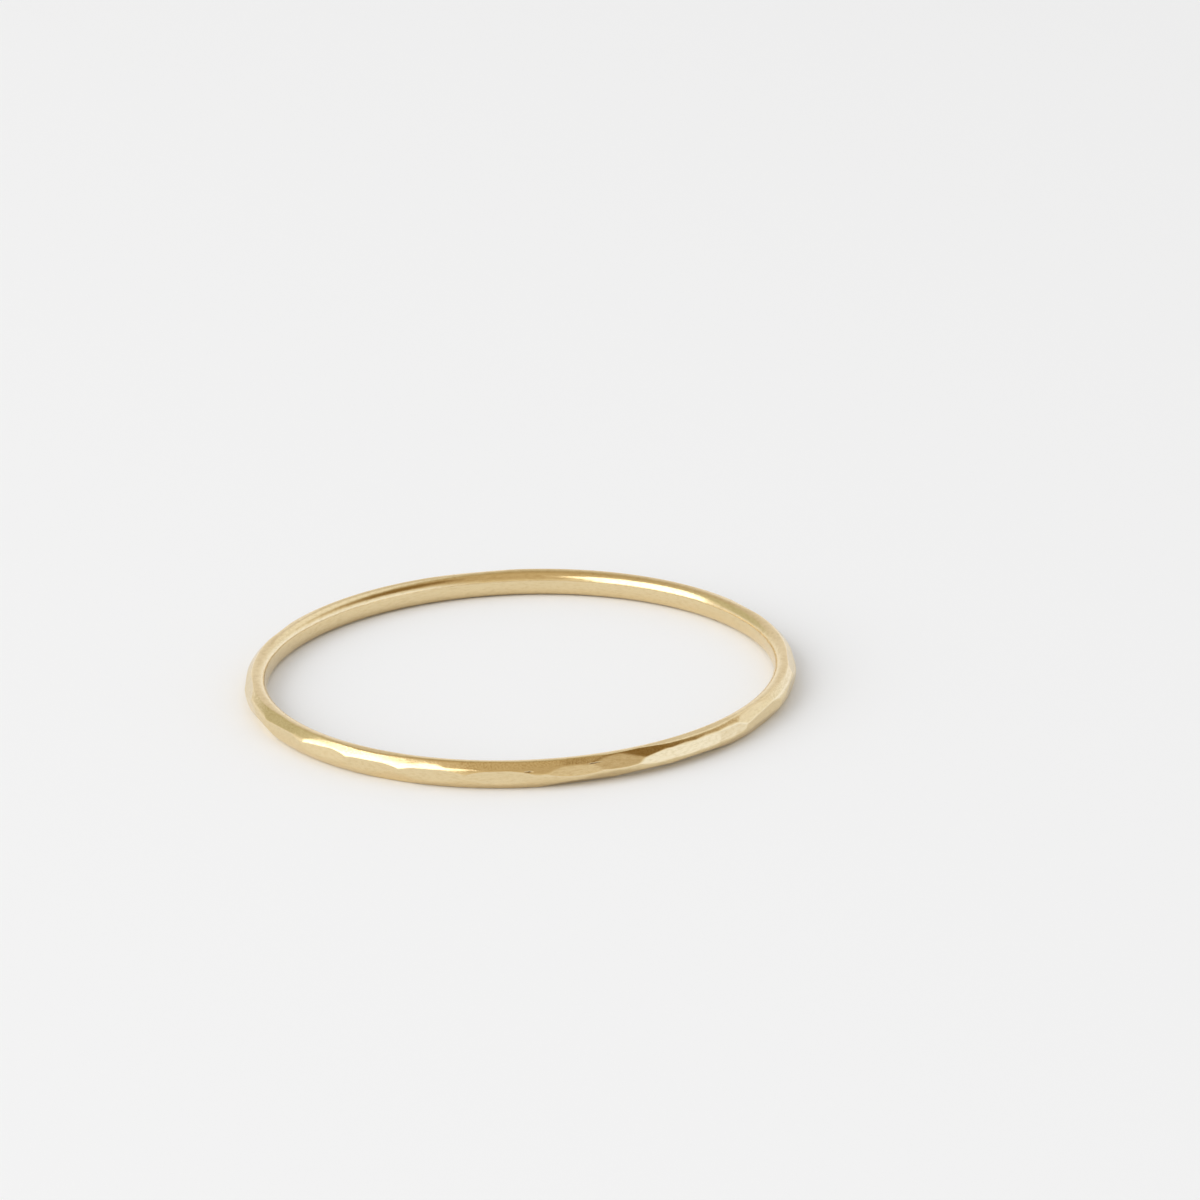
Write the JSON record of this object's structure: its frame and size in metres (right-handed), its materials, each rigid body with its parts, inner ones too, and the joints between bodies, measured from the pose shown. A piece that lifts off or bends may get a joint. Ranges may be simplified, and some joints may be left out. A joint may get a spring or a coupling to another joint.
{
  "type": "hammered stackable ring",
  "caption": "Thin finger ring: one closed loop of pale gold wire with small flat hammer marks round its outside.",
  "frame": {"origin": "on the ring's axis, in the plane that its lower edge rests on", "axes": "+Z along the ring's axis, up out of the finger hole; +X and +Y across the ring, -Y at the front of the picture"},
  "size_m": [0.0188, 0.0188, 0.0009],
  "materials": {
    "gold": "hammered satin gold"
  },
  "bodies": {
    "root": {"hammered_band": "gold"}
  },
  "joints": []
}
